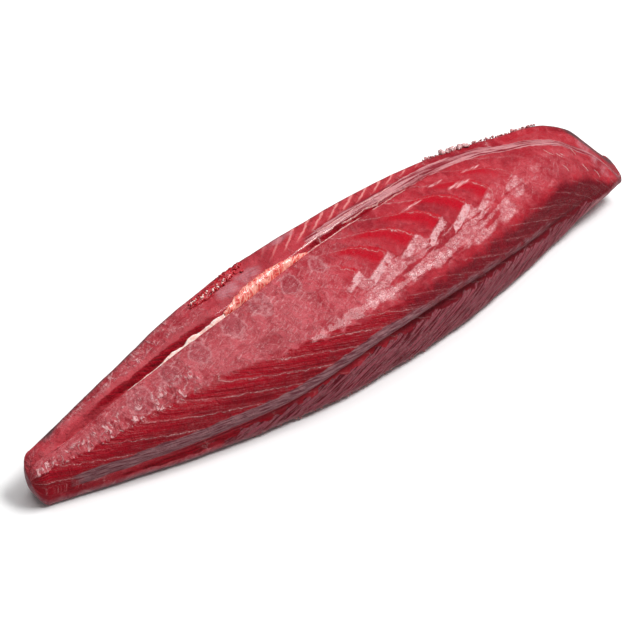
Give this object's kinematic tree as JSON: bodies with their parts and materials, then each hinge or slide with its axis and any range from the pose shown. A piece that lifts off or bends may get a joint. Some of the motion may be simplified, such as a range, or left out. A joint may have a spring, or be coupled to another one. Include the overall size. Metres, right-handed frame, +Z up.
{
  "type": "tuna fillet",
  "caption": "Skinless raw tuna loin: a long spindle with a flat underside, a seam along its broad top face and a narrow muscle strip at the back edge.",
  "frame": {"origin": "centre of the underside, midway between the ends and between the sides of the whole loin", "axes": "+X along the loin towards its head end, +Z up from the surface that it lies on, -Y towards the trimmed front face"},
  "size_m": [0.616, 0.1332, 0.0904],
  "materials": {
    "tuna_flesh": "moist"
  },
  "bodies": {
    "root": {"tuna_fillet": "tuna_flesh"}
  },
  "joints": []
}
